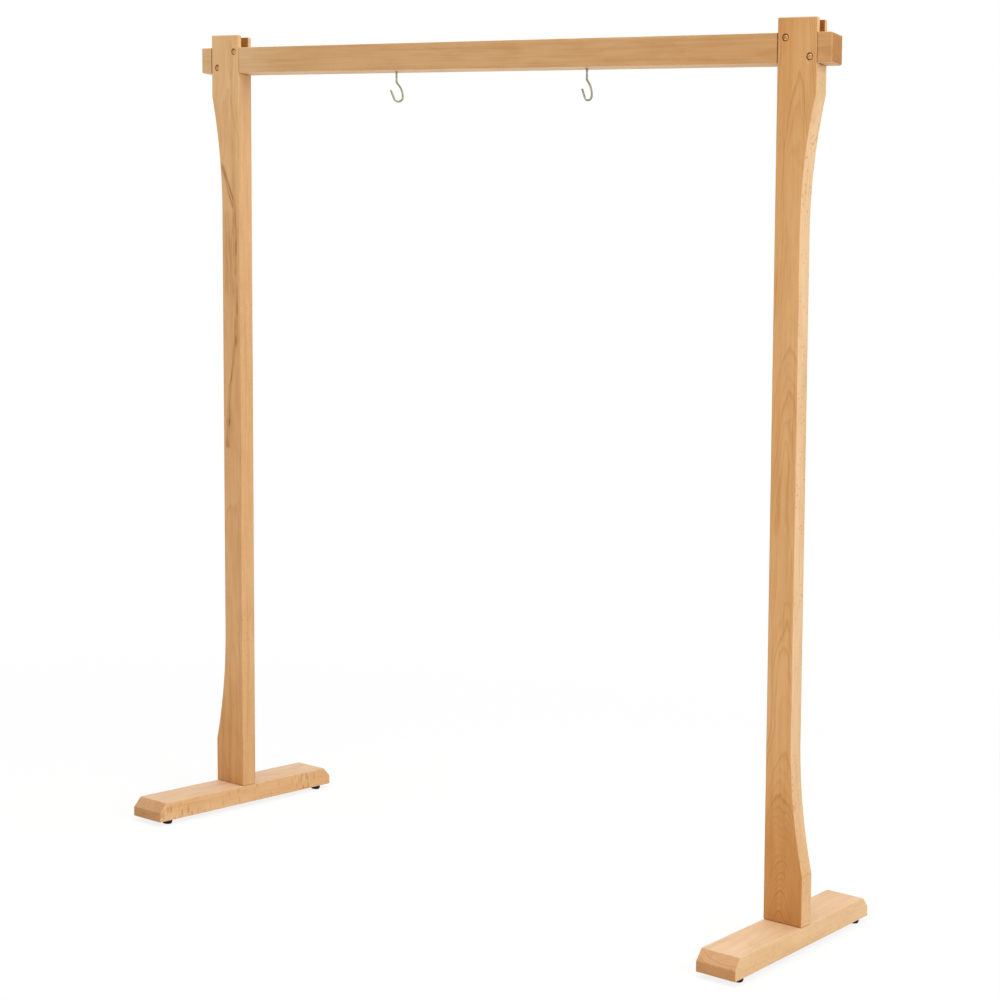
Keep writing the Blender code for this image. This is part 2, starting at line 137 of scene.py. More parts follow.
def calculate(tree, operation, first, *others):
    """One operation on a value or socket, or carried on along several of them."""
    for other in others or (0.0,):
        first = add_node(tree, "ShaderNodeMath", {0: first, 1: other}, operation=operation).outputs[0]
    return first


def remap(tree, value, low, high, new_low=0.0, new_high=1.0):
    """A value brought smoothly from one range into another, held at the ends."""
    ends = {"From Min": low, "From Max": high, "To Min": new_low, "To Max": new_high}
    node = add_node(tree, "ShaderNodeMapRange", {"Value": value, **ends}, interpolation_type="SMOOTHSTEP")
    return node.outputs[0]


def seen_as_background(tree):
    """1 where the camera, a mirror reflection or glass looks, 0 for light on the object."""
    path = add_node(tree, "ShaderNodeLightPath").outputs
    rays = [path[f"Is {kind} Ray"] for kind in ("Camera", "Glossy", "Transmission")]
    return calculate(tree, "MAXIMUM", *rays)


world = bpy.data.worlds.new("studio")
scene.world = world
world.use_nodes = True
sky = world.node_tree
sky.nodes.clear()
sky_soft = add_node(sky, "ShaderNodeBackground", {"Color": (1, 1, 1, 1), "Strength": SKY_LIGHT})
sky_white = add_node(sky, "ShaderNodeBackground", {"Color": (1, 1, 1, 1), "Strength": 1.0})
sky_parts = {0: seen_as_background(sky), 1: sky_soft.outputs[0], 2: sky_white.outputs[0]}
sky_mix = add_node(sky, "ShaderNodeMixShader", sky_parts)
add_node(sky, "ShaderNodeOutputWorld", {"Surface": sky_mix.outputs[0]})

floor_mesh = bpy.data.meshes.new("floor")
floor_shape = bmesh.new()
bmesh.ops.create_grid(floor_shape, x_segments=1, y_segments=1, size=FLOOR_SIZE / 2)
floor_shape.to_mesh(floor_mesh)
floor_shape.free()
floor = bpy.data.objects.new("floor", floor_mesh)
scene.collection.objects.link(floor)
paper = bpy.data.materials.new("floor_paper")
paper.use_nodes = True
paper_tree = paper.node_tree
paper_tree.nodes.clear()
floor_place = add_node(paper_tree, "ShaderNodeTexCoord").outputs["Object"]
floor_reach = add_node(paper_tree, "ShaderNodeVectorMath", {0: floor_place}, operation="LENGTH")
floor_fade = remap(paper_tree, floor_reach.outputs["Value"], FLOOR_FADE_FROM, FLOOR_FADE_TO, FLOOR_WHITENING)
floor_white = calculate(paper_tree, "MULTIPLY", floor_fade, seen_as_background(paper_tree))
paper_matt = add_node(paper_tree, "ShaderNodeBsdfDiffuse", {"Color": FLOOR_COLOUR})
paper_white = add_node(paper_tree, "ShaderNodeEmission", {"Color": (1, 1, 1, 1), "Strength": 1.0})
paper_parts = {0: floor_white, 1: paper_matt.outputs[0], 2: paper_white.outputs[0]}
paper_mix = add_node(paper_tree, "ShaderNodeMixShader", paper_parts)
add_node(paper_tree, "ShaderNodeOutputMaterial", {"Surface": paper_mix.outputs[0]})
floor_mesh.materials.append(paper)
floor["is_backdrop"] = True


def soft_lamp(name, place, size, power):
    """A square soft lamp aimed at the middle of the stand."""
    lamp_data = bpy.data.lights.new(name, "AREA")
    lamp_data.size = size
    lamp_data.energy = power
    lamp = bpy.data.objects.new(name, lamp_data)
    lamp.location = place
    lamp.rotation_mode = "QUATERNION"
    lamp.rotation_quaternion = (AIM_POINT - Vector(place)).to_track_quat("-Z", "Y")
    scene.collection.objects.link(lamp)


soft_lamp("key_lamp", KEY_PLACE, KEY_SIZE, KEY_POWER)
soft_lamp("top_lamp", TOP_PLACE, TOP_SIZE, TOP_POWER)


# Feet. Two beech runners lie across under the posts, planed square, with both top ends
# chamfered and every edge eased. The foot bolts come up through them from pockets below.
EDGE_ROUND = 0.0016
EDGE_STEPS = 3
BEVEL_ANGLE = math.radians(30)
SHARP_ANGLE = math.radians(40)
FLAT_WEIGHT = 100
ROUND_STEPS = 32
RIM_EASE = 0.0005
CUT_PAST = 0.004
MERGE_GAP = 0.000001
CHAMFER_RUN = 0.020
CHAMFER_DROP = 0.019
WASHER_POCKET_RADIUS = 0.0103
WASHER_POCKET_DEPTH = 0.0122
FOOT_BOLT_HOLE_RADIUS = 0.0043
PAD_SCREW_HOLE_RADIUS = 0.00205
PAD_SCREW_HOLE_DEPTH = 0.0163
FACING_DOWN = Matrix.Rotation(math.pi, 4, "X")
FACING_FRONT = Matrix.Rotation(math.pi / 2, 4, "X")
FACING_REAR = Matrix.Rotation(-math.pi / 2, 4, "X")
FACING_RIGHT = Euler((math.pi / 2, 0, math.pi / 2)).to_matrix().to_4x4()


def link_object(name, mesh):
    """A new object for a mesh, in the scene."""
    thing = bpy.data.objects.new(name, mesh)
    scene.collection.objects.link(thing)
    return thing


def plain_mesh(thing):
    """Replace a piece's modifiers by the mesh that they make."""
    graph = bpy.context.evaluated_depsgraph_get()
    evaluated = thing.evaluated_get(graph)
    mesh = bpy.data.meshes.new_from_object(evaluated, preserve_all_data_layers=True, depsgraph=graph)
    mesh.name = thing.name
    thing.modifiers.clear()
    thing.data = mesh


def mesh_from_shape(name, shape):
    """A mesh of a finished shape, with its faces outward."""
    bmesh.ops.recalc_face_normals(shape, faces=shape.faces)
    mesh = bpy.data.meshes.new(name)
    shape.to_mesh(mesh)
    shape.free()
    return mesh


def prism_mesh(name, outline, thickness, place):
    """A flat outline thickened evenly to both sides of its plane, then placed."""
    shape = bmesh.new()
    face = shape.faces.new([shape.verts.new((x, y, -thickness / 2)) for x, y in outline])
    raised = bmesh.ops.extrude_face_region(shape, geom=[face])["geom"]
    lifted = [part for part in raised if isinstance(part, bmesh.types.BMVert)]
    bmesh.ops.translate(shape, verts=lifted, vec=(0, 0, thickness))
    bmesh.ops.transform(shape, matrix=place, verts=shape.verts)
    return mesh_from_shape(name, shape)


def turned_mesh(name, profile):
    """A turned solid about Z from (radius, height) points that run down its outer side."""
    shape = bmesh.new()
    points = [shape.verts.new((radius, 0, height)) for radius, height in profile]
    edges = [shape.edges.new(pair) for pair in zip(points, points[1:])]
    bmesh.ops.spin(shape, geom=points + edges, axis=(0, 0, 1), cent=(0, 0, 0), angle=2 * math.pi,
                   steps=ROUND_STEPS, use_merge=True)
    bmesh.ops.remove_doubles(shape, verts=shape.verts, dist=MERGE_GAP)
    return mesh_from_shape(name, shape)


def cut_shape(target, mesh, place):
    """Cut a shape out of a piece at once, and merge the corners that the cut leaves double."""
    cutter = link_object("cutter", mesh)
    cutter.matrix_world = place
    boolean = target.modifiers.new("cut", "BOOLEAN")
    boolean.operation = "DIFFERENCE"
    boolean.solver = "EXACT"
    boolean.object = cutter
    plain_mesh(target)
    bpy.data.objects.remove(cutter, do_unlink=True)
    shape = bmesh.new()
    shape.from_mesh(target.data)
    bmesh.ops.remove_doubles(shape, verts=shape.verts, dist=MERGE_GAP)
    shape.to_mesh(target.data)
    shape.free()


def cut_hole(target, steps, mouth):
    """Drill a stepped hole of (radius, depth) steps with an eased rim, its mouth facing along Z."""
    first = steps[0][0]
    profile = [(0, CUT_PAST), (first + RIM_EASE + CUT_PAST, CUT_PAST), (first, -RIM_EASE)]
    for (radius, depth), (next_radius, _) in zip(steps, steps[1:] + [(0, 0)]):
        profile += [(radius, -depth), (next_radius, -depth)]
    cut_shape(target, turned_mesh("hole", profile), mouth)


def ease_edges(board, radius):
    """Round a board's sawn edges over, as a sander leaves them."""
    bevel = board.modifiers.new("eased", "BEVEL")
    bevel.width = radius
    bevel.segments = EDGE_STEPS
    bevel.limit_method = "ANGLE"
    bevel.angle_limit = BEVEL_ANGLE
    plain_mesh(board)


def smooth_shading(piece):
    """Shade the rounded edges smooth and keep the flat faces flat."""
    piece.data.shade_smooth()
    piece.data.set_sharp_from_angle(angle=SHARP_ANGLE)
    weighted = piece.modifiers.new("flat_faces", "WEIGHTED_NORMAL")
    weighted.keep_sharp = True
    weighted.weight = FLAT_WEIGHT
    plain_mesh(piece)


def mix_colour(tree, factor, first, second, blend="MIX"):
    """Two colours mixed by a factor."""
    colours = {0: factor, 6: first, 7: second}
    return add_node(tree, "ShaderNodeMix", colours, data_type="RGBA", blend_type=blend).outputs[2]


def calculate_vector(tree, operation, first, second=(0, 0, 0)):
    """The result of one operation on vectors."""
    return add_node(tree, "ShaderNodeVectorMath", {0: first, 1: second}, operation=operation).outputs[0]


def new_tree(kind, name, inputs, outputs):
    """An empty shader group or Geometry Nodes tree, with its sockets listed by type, and its ends."""
    tree = bpy.data.node_groups.new(name, kind)
    for way, sockets in (("INPUT", inputs), ("OUTPUT", outputs)):
        for socket_type, labels in sockets.items():
            for label in labels:
                tree.interface.new_socket(name=label, in_out=way, socket_type="NodeSocket" + socket_type)
    return tree, tree.nodes.new("NodeGroupInput").outputs, tree.nodes.new("NodeGroupOutput").inputs


def stretched_noise(tree, place, scale, detail=2.0):
    """Noise drawn out along an axis; scale is in cycles per metre on each axis."""
    noise = {"Vector": calculate_vector(tree, "MULTIPLY", place, scale), "Scale": 1.0, "Detail": detail}
    return add_node(tree, "ShaderNodeTexNoise", noise).outputs["Fac"]


def centred_noise(tree, place, scale, detail=2.0):
    """The same noise brought about zero."""
    return calculate(tree, "SUBTRACT", stretched_noise(tree, place, scale, detail), 0.5)


def add_flecks(tree, place, scale, core, rarity):
    """Scattered lens-shaped flecks: a soft core in some of the cells that the scale sets out."""
    spot = calculate_vector(tree, "MULTIPLY", place, scale)
    cell = add_node(tree, "ShaderNodeTexVoronoi", {"Vector": spot, "Scale": 1.0})
    pick = add_node(tree, "ShaderNodeSeparateXYZ", {0: cell.outputs["Color"]}).outputs[0]
    chosen = remap(tree, pick, rarity, rarity + FLECK_CHOICE)
    return calculate(tree, "MULTIPLY", remap(tree, cell.outputs["Distance"], core, core * FLECK_CORE), chosen)


# Noise scales are in cycles per metre across, through and along a board. Ray scales are in flecks
# per metre across it, per Ray Reach and per Ray Run. Levels are metres along it from its middle.
BEND_SCALE = (9, 9, 2.2)
RIPPLE_SCALE = (60, 60, 14)
RIPPLE_RINGS = 1.7
YEAR_SCALE = 0.41
FIBRE_SCALE = (620, 620, 11)
STREAK_SCALE = (130, 130, 2.4)
CLOUD_SCALE = (45, 45, 12)
PATCH_SCALE = (14, 14, 1.7)
CROWD_SCALE = (5, 5, 6)
FINE_RAY_SCALE = (600, 2, 3)
LARGE_RAY_SCALE = (210, 1, 1)
FLECK_CHOICE = 0.25
FLECK_CORE = 0.4
FLARE_LEVELS = (-0.42, -1.18)
LOW_LEVELS = (-0.46, -0.80)
HIGH_LEVELS = (0.30, 0.82)
RING_TONE = (0.78, 0.65, 0.48, 1.0)
CLOUD_TONE = (0.95, 0.92, 0.88, 1.0)
STREAK_TONE = (0.88, 0.81, 0.71, 1.0)
FIBRE_TONE = (0.91, 0.87, 0.81, 1.0)
RAY_TONE = (0.66, 0.52, 0.36, 1.0)


def beech_grain():
    """Grain of a sawn board whose length is Z: yearly rings about a heart that lies behind the board,
    leans along it and flares off towards its foot; fibres, streaks and patches of tone along it;
    warmer or paler towards either end; ray flecks, most on its edges; its end grain; and painted
    light and shade on its side faces, partly their own tone."""
    group, given, made = new_tree(
        "ShaderNodeTree",
        "beech_grain",
        {"Vector": ["Place", "Facing"],
         "Float": ["Seed", "Heart Offset", "Heart Depth", "Lean", "Flare", "Ring Width", "Wander", "Figure",
                   "Ray Reach", "Ray Run", "Ray Mark", "Streak Mark", "Patchiness", "Low Warmth",
                   "High Warmth"],
         "Color": ["Pale", "Warm", "Edge Tone", "End Tone"]},
        {"Color": ["Color"], "Float": ["Roughness", "Height"]},
    )
    seed = given["Seed"]
    shift = add_node(group, "ShaderNodeCombineXYZ", {0: seed, 1: seed, 2: seed}).outputs[0]
    spot = calculate_vector(group, "ADD", given["Place"], shift)
    axes = add_node(group, "ShaderNodeSeparateXYZ", {0: given["Place"]}).outputs
    facing = add_node(group, "ShaderNodeSeparateXYZ", {0: given["Facing"]}).outputs
    edge = remap(group, calculate(group, "ABSOLUTE", facing[0]), 0.5, 0.9)
    end = remap(group, calculate(group, "ABSOLUTE", facing[2]), 0.40, 0.82)

    sway = calculate(group, "MULTIPLY", centred_noise(group, spot, BEND_SCALE), given["Wander"])
    ripple = centred_noise(group, spot, RIPPLE_SCALE)
    jitter = calculate(group, "MULTIPLY", ripple, RIPPLE_RINGS, given["Ring Width"])
    across = calculate(group, "SUBTRACT", axes[0], given["Heart Offset"])
    leaning = calculate(group, "MULTIPLY", axes[2], given["Lean"])
    flaring = calculate(group, "MULTIPLY", remap(group, axes[2], *FLARE_LEVELS), given["Flare"])
    leaning = calculate(group, "SUBTRACT", leaning, flaring)
    through = calculate(group, "ADD", axes[1], given["Heart Depth"], leaning, sway)
    squares = [calculate(group, "MULTIPLY", side, side) for side in (across, through)]
    radius = calculate(group, "SQRT", calculate(group, "ADD", *squares))
    radius = calculate(group, "ADD", radius, jitter)
    years = calculate(group, "DIVIDE", radius, given["Ring Width"])
    season = calculate(group, "FRACT", years)
    late = calculate(group, "MULTIPLY", remap(group, season, 0.40, 0.90), remap(group, season, 1.0, 0.90))
    year_spot = calculate(group, "ADD", calculate(group, "MULTIPLY", years, YEAR_SCALE), seed)
    year = add_node(group, "ShaderNodeTexNoise", {"W": year_spot, "Scale": 1.0}, noise_dimensions="1D")
    strength = remap(group, year.outputs["Fac"], 0.38, 0.68, 0.12, 1.0)
    low_warmth = calculate(group, "MULTIPLY", remap(group, axes[2], *LOW_LEVELS), given["Low Warmth"])
    high_warmth = calculate(group, "MULTIPLY", remap(group, axes[2], *HIGH_LEVELS), given["High Warmth"])
    warmth = calculate(group, "ADD", low_warmth, high_warmth)
    warmth = calculate(group, "MULTIPLY", warmth, remap(group, edge, 1.0, 0.0, 0.3))
    end_show = calculate(group, "MULTIPLY", end, 0.6)
    warm_show = calculate(group, "MULTIPLY", warmth, 0.2)
    shown = calculate(group, "ADD", given["Figure"], end_show, warm_show)
    ring = calculate(group, "MULTIPLY", late, strength, shown)

    fibre = stretched_noise(group, spot, FIBRE_SCALE, 3.0)
    streak = remap(group, stretched_noise(group, spot, STREAK_SCALE), 0.48, 0.75)
    streak = calculate(group, "MULTIPLY", streak, given["Streak Mark"])
    cloud = remap(group, stretched_noise(group, spot, CLOUD_SCALE, 3.0), 0.40, 0.70)
    reach = calculate(group, "DIVIDE", radius, given["Ray Reach"])
    run = calculate(group, "DIVIDE", axes[2], given["Ray Run"])
    ray_spot = add_node(group, "ShaderNodeCombineXYZ", {0: across, 1: reach, 2: run}).outputs[0]
    fine_ray = calculate(group, "MULTIPLY", add_flecks(group, ray_spot, FINE_RAY_SCALE, 0.45, 0.40), 0.18)
    crowded = remap(group, stretched_noise(group, spot, CROWD_SCALE), 0.42, 0.60, 0.40, 1.0)
    large_ray = add_flecks(group, ray_spot, LARGE_RAY_SCALE, 0.42, 0.20)
    large_ray = calculate(group, "MULTIPLY", large_ray, edge, crowded)
    ray = calculate(group, "MAXIMUM", fine_ray, large_ray)
    ray = calculate(group, "MULTIPLY", ray, given["Ray Mark"])

    patch = calculate(group, "MULTIPLY", centred_noise(group, spot, PATCH_SCALE, 1.0), given["Patchiness"])
    tint = calculate(group, "ADD", patch, 0.5, warmth)
    wood = mix_colour(group, remap(group, tint, 0.15, 0.85), given["Pale"], given["Warm"])
    # The side-face tone among these layers is painted light and shade. It lightens or darkens the faces that
    # face across the grain as the lamps and the floor light them, with some of the wood's own tone.
    layers = [(ring, RING_TONE), (cloud, CLOUD_TONE), (streak, STREAK_TONE),
              (remap(group, fibre, 0.35, 0.80), FIBRE_TONE), (ray, RAY_TONE),
              (edge, given["Edge Tone"]), (end, given["End Tone"])]
    for mask, tone in layers:
        wood = mix_colour(group, mask, wood, tone, "MULTIPLY")
    group.links.new(wood, made["Color"])
    dull_fibre = calculate(group, "MULTIPLY", fibre, 0.16)
    dull_end = calculate(group, "MULTIPLY", end, 0.12)
    dull_ring = calculate(group, "MULTIPLY", ring, 0.06)
    group.links.new(calculate(group, "ADD", dull_fibre, 0.46, dull_end, dull_ring), made["Roughness"])
    raised_fibre = calculate(group, "MULTIPLY", fibre, 0.7)
    sunk_ray = calculate(group, "MULTIPLY", ray, 0.4)
    sunk_ring = calculate(group, "MULTIPLY", ring, 0.3)
    group.links.new(calculate(group, "SUBTRACT", raised_fibre, sunk_ray, sunk_ring), made["Height"])
    return group


BEECH_GRAIN = beech_grain()
USUAL_GRAIN = {"Flare": 0.0, "Patchiness": 1.0, "Low Warmth": 0.0, "High Warmth": 0.0,
               "End Tone": (0.74, 0.63, 0.51, 1.0)}
WOOD_SPECULAR = 0.22
WOOD_BUMP = 0.10
WOOD_RELIEF = 0.0005


def dress_shader(tree, surface, bump_strength, relief):
    """Bring a surface's colour, roughness and height into a material's shader, and return it."""
    shader = tree.nodes["Principled BSDF"]
    height = {"Height": surface["Height"], "Strength": bump_strength, "Distance": relief}
    bump = add_node(tree, "ShaderNodeBump", height).outputs["Normal"]
    tree.links.new(surface["Color"], shader.inputs["Base Color"])
    tree.links.new(surface["Roughness"], shader.inputs["Roughness"])
    tree.links.new(bump, shader.inputs["Normal"])
    return shader


def beech_material(name, turn, middle, grain):
    """Beech for one board; turn and middle bring its length to the grain's Z and its middle to zero.
    Returns the material, its places on the object, and the colour that goes into the shader."""
    material = bpy.data.materials.new(name)
    material.use_nodes = True
    tree = material.node_tree
    spots = add_node(tree, "ShaderNodeTexCoord").outputs
    moved = {"Vector": calculate_vector(tree, "SUBTRACT", spots["Object"], middle), "Rotation": turn}
    place = add_node(tree, "ShaderNodeMapping", moved).outputs[0]
    normal = {"Vector": spots["Normal"], "Rotation": turn}
    facing = add_node(tree, "ShaderNodeMapping", normal, vector_type="NORMAL").outputs[0]
    values = {"Place": place, "Facing": facing, **USUAL_GRAIN, **grain}
    board = add_node(tree, "ShaderNodeGroup", values, node_tree=BEECH_GRAIN).outputs
    shader = dress_shader(tree, board, WOOD_BUMP, WOOD_RELIEF)
    shader.inputs["Specular IOR Level"].default_value = WOOD_SPECULAR
    return material, place, board["Color"]


def finish_piece(piece, material, body, nodes):
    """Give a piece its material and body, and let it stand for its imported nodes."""
    piece.data.materials.clear()
    piece.data.materials.append(material)
    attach(piece, body)
    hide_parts(*nodes)


def box_middle(node):
    """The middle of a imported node."""
    low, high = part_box(node)
    return (low + high) / 2


GRAIN_ALONG_Y = (math.pi / 2, 0, 0)
SIDES = {"left": -1, "right": 1}
EDGES = ("inner", "outer")
ENDS = ("front", "rear")
# On the feet the side-face tone is painted shade. Their long sides come out darker than their tops, as less
# light falls on them.
FOOT_GRAIN = {
    "left": {
        "Seed": 4.6, "Heart Offset": -0.012, "Heart Depth": 0.085, "Lean": 0.02, "Ring Width": 0.0042,
        "Wander": 0.02, "Figure": 0.18, "Ray Reach": 0.024, "Ray Run": 0.009, "Ray Mark": 0.75,
        "Streak Mark": 0.4, "Pale": (0.775, 0.560, 0.395, 1.0), "Warm": (0.715, 0.465, 0.270, 1.0),
        "Edge Tone": (0.99, 0.89, 0.69, 1.0), "End Tone": (0.79, 0.61, 0.44, 1.0),
    },
    "right": {
        "Seed": 8.7, "Heart Offset": 0.015, "Heart Depth": 0.095, "Lean": -0.03, "Ring Width": 0.0047,
        "Wander": 0.02, "Figure": 0.18, "Ray Reach": 0.009, "Ray Run": 0.012, "Ray Mark": 0.3,
        "Streak Mark": 0.3, "Pale": (0.755, 0.535, 0.345, 1.0), "Warm": (0.685, 0.440, 0.235, 1.0),
        "Edge Tone": (1.01, 0.96, 0.82, 1.0), "End Tone": (0.81, 0.61, 0.42, 1.0),
    },
}
for side in SIDES:
    low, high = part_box(side + "_foot")
    size = high - low
    middle = (low + high) / 2
    half = size.y / 2
    outline = [
        (-half, -size.z / 2),
        (half, -size.z / 2),
        (half, size.z / 2 - CHAMFER_DROP),
        (half - CHAMFER_RUN, size.z / 2),
        (CHAMFER_RUN - half, size.z / 2),
        (-half, size.z / 2 - CHAMFER_DROP),
    ]
    mesh = prism_mesh(side + "_foot_board", outline, size.x, Matrix.Translation(middle) @ FACING_RIGHT)
    foot = link_object(side + "_foot_board", mesh)
    ease_edges(foot, EDGE_ROUND)
    for edge in EDGES:
        bolt = box_middle(f"{side}_{edge}_foot_bolt")
        pocket = (WASHER_POCKET_RADIUS, WASHER_POCKET_DEPTH)
        bolt_hole = (FOOT_BOLT_HOLE_RADIUS, size.z + CUT_PAST)
        cut_hole(foot, [pocket, bolt_hole], Matrix.Translation((bolt.x, bolt.y, low.z)) @ FACING_DOWN)
        for end in ENDS:
            screw = box_middle(f"{side}_{end}_{edge}_pad_screw")
            mouth = Matrix.Translation((screw.x, screw.y, low.z)) @ FACING_DOWN
            cut_hole(foot, [(PAD_SCREW_HOLE_RADIUS, PAD_SCREW_HOLE_DEPTH)], mouth)
    smooth_shading(foot)
    material, _, _ = beech_material(side + "_foot_beech", GRAIN_ALONG_Y, middle, FOOT_GRAIN[side])
    finish_piece(foot, material, "frame", [side + "_foot"])


# Rubber pads. Under each corner of a foot sits a black moulded rubber pad, rounded below,
# with a pocket for the zinc-plated cross-head screw that holds it.
PAD_PROFILE = [
    (0.0021, 0.0090), (0.0099, 0.0090), (0.0103, 0.0088), (0.0105, 0.0083), (0.0105, 0.0048),
    (0.0103, 0.0035), (0.0098, 0.0022), (0.0091, 0.0011), (0.0081, 0.0003), (0.0070, 0.0000),
    (0.0052, 0.0000), (0.0047, 0.0002), (0.0045, 0.0006), (0.0045, 0.0040), (0.0021, 0.0040),
    (0.0021, 0.0090),
]
PAD_SCREW_PROFILE = [
    (0, 0), (0.0016, -0.0001), (0.0030, -0.0006), (0.0038, -0.0014), (0.0040, -0.0024), (0.00175, -0.0024),
    (0.00175, -0.0210), (0.0008, -0.0232), (0, -0.0240),
]
CROSS_LENGTH = 0.0042
CROSS_WIDTH = 0.0009
CROSS_DEPTH = 0.0034
RUBBER_BLACK = (0.008, 0.008, 0.009, 1.0)
RUBBER_DUSTY = (0.026, 0.025, 0.024, 1.0)
ZINC_BRIGHT = (0.66, 0.67, 0.68, 1.0)
ZINC_DULL = (0.42, 0.43, 0.45, 1.0)
FITTING_RELIEF = 0.0002


def worn_surface():
    """A small fitting's surface: patches of wear between two colours, and uneven roughness."""
    group, given, made = new_tree(
        "ShaderNodeTree",
        "worn_surface",
        {"Vector": ["Place"], "Color": ["Fresh", "Worn"],
         "Float": ["Patches", "Wear", "Least Roughness", "Added Roughness"]},
        {"Color": ["Color"], "Float": ["Roughness", "Height"]},
    )
    coarse = {"Vector": given["Place"], "Scale": given["Patches"], "Detail": 4.0}
    large = add_node(group, "ShaderNodeTexNoise", coarse).outputs["Fac"]
    closer = calculate(group, "MULTIPLY", given["Patches"], 7.0)
    close = {"Vector": given["Place"], "Scale": closer, "Detail": 3.0}
    small = add_node(group, "ShaderNodeTexNoise", close).outputs["Fac"]
    patch = calculate(group, "ADD", large, calculate(group, "MULTIPLY", small, 0.35))
    wear = calculate(group, "MULTIPLY", remap(group, patch, 0.58, 0.85), given["Wear"])
    group.links.new(mix_colour(group, wear, given["Fresh"], given["Worn"]), made["Color"])
    uneven = calculate(group, "MULTIPLY", calculate(group, "ADD", wear, small), given["Added Roughness"])
    group.links.new(calculate(group, "ADD", given["Least Roughness"], uneven), made["Roughness"])
    group.links.new(small, made["Height"])
    return group


WORN_SURFACE = worn_surface()


def fitting_material(name, look, metallic, bump, specular=0.5):
    """A material for a metal or rubber fitting from the worn surface's named values."""
    material = bpy.data.materials.new(name)
    material.use_nodes = True
    tree = material.node_tree
    place = add_node(tree, "ShaderNodeTexCoord").outputs["Object"]
    worn = add_node(tree, "ShaderNodeGroup", {"Place": place, **look}, node_tree=WORN_SURFACE).outputs
    shader = dress_shader(tree, worn, bump, FITTING_RELIEF)
    shader.inputs["Metallic"].default_value = metallic
    shader.inputs["Specular IOR Level"].default_value = specular
    return material


def grow(thing, tree, values):
    """Run a Geometry Nodes tree on an object with its named values, and keep the plain mesh."""
    modifier = thing.modifiers.new(tree.name, "NODES")
    modifier.node_group = tree
    for socket in tree.interface.items_tree:
        if socket.in_out == "INPUT" and socket.name in values:
            modifier[socket.identifier] = values[socket.name]
    plain_mesh(thing)


def fittings_tree():
    """One fitting at every point, facing one way and turned by chance about its own axis."""
    tree, given, made = new_tree(
        "GeometryNodeTree",
        "fittings_at_places",
        {"Geometry": ["Geometry"], "Object": ["Fitting"], "Vector": ["Facing"], "Int": ["Seed"],
         "Material": ["Material"]},
        {"Geometry": ["Geometry"]},
    )
    fitting = add_node(tree, "GeometryNodeObjectInfo", {"Object": given["Fitting"]}).outputs["Geometry"]
    chance = {2: 0.0, 3: 2 * math.pi, "Seed": given["Seed"]}
    turn = add_node(tree, "FunctionNodeRandomValue", chance).outputs[1]
    spin = add_node(tree, "FunctionNodeAxisAngleToRotation", {"Axis": (0, 0, 1), "Angle": turn}).outputs[0]
    facing = add_node(tree, "FunctionNodeEulerToRotation", {"Euler": given["Facing"]}).outputs[0]
    both = {"Rotation": facing, "Rotate By": spin}
    aim = add_node(tree, "FunctionNodeRotateRotation", both, rotation_space="LOCAL").outputs[0]
    spread = {"Points": given["Geometry"], "Instance": fitting, "Rotation": aim}
    placed = add_node(tree, "GeometryNodeInstanceOnPoints", spread).outputs[0]
    solid = add_node(tree, "GeometryNodeRealizeInstances", {"Geometry": placed}).outputs[0]
    finish = {"Geometry": solid, "Material": given["Material"]}
    tree.links.new(add_node(tree, "GeometryNodeSetMaterial", finish).outputs[0], made["Geometry"])
    return tree


FITTINGS_TREE = fittings_tree()


def place_fittings(name, template, facing, seed, material, places):
    """One piece of like fittings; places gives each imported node's point for the fitting's zero."""
    template.data.shade_smooth()
    template.data.set_sharp_from_angle(angle=SHARP_ANGLE)
    mesh = bpy.data.meshes.new(name)
    mesh.from_pydata(list(places.values()), [], [])
    piece = link_object(name, mesh)
    values = {"Fitting": template, "Facing": facing.to_euler(), "Seed": seed, "Material": material}
    grow(piece, FITTINGS_TREE, values)
    bpy.data.objects.remove(template, do_unlink=True)
    finish_piece(piece, material, "frame", places)


def lowest_points(nodes):
    """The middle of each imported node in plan, at its lowest level."""
    points = {}
    for node in nodes:
        middle = box_middle(node)
        points[node] = (middle.x, middle.y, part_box(node)[0].z)
    return points


def turned_template(kind, profile):
    """One turned fitting, to be copied to its places."""
    return link_object(kind + "_template", turned_mesh(kind + "_template", profile))


def rectangle(width, height):
    """Corners of a rectangle about zero."""
    return [(x * width / 2, y * height / 2) for x, y in ((-1, -1), (1, -1), (1, 1), (-1, 1))]


pads = [f"{side}_{end}_{edge}_pad" for side in SIDES for end in ENDS for edge in EDGES]
rubber_look = {"Patches": 160.0, "Fresh": RUBBER_BLACK, "Worn": RUBBER_DUSTY, "Wear": 0.7,
               "Least Roughness": 0.50, "Added Roughness": 0.25}
rubber = fitting_material("black_rubber", rubber_look, metallic=0.0, bump=0.25, specular=0.15)
pad_template = turned_template("pad", PAD_PROFILE)
place_fittings("rubber_pads", pad_template, Matrix(), 1, rubber, lowest_points(pads))

screw_template = turned_template("pad_screw", PAD_SCREW_PROFILE)
for length, width in ((CROSS_LENGTH, CROSS_WIDTH), (CROSS_WIDTH, CROSS_LENGTH)):
    cross_mesh = prism_mesh("cross", rectangle(length, width), CROSS_DEPTH, Matrix())
    cut_shape(screw_template, cross_mesh, Matrix())
zinc_look = {"Patches": 220.0, "Fresh": ZINC_BRIGHT, "Worn": ZINC_DULL, "Wear": 0.6,
             "Least Roughness": 0.22, "Added Roughness": 0.20}
zinc = fitting_material("zinc_plated_steel", zinc_look, metallic=1.0, bump=0.15)
pad_screws = [pad + "_screw" for pad in pads]
place_fittings("pad_screws", screw_template, FACING_DOWN, 2, zinc, lowest_points(pad_screws))


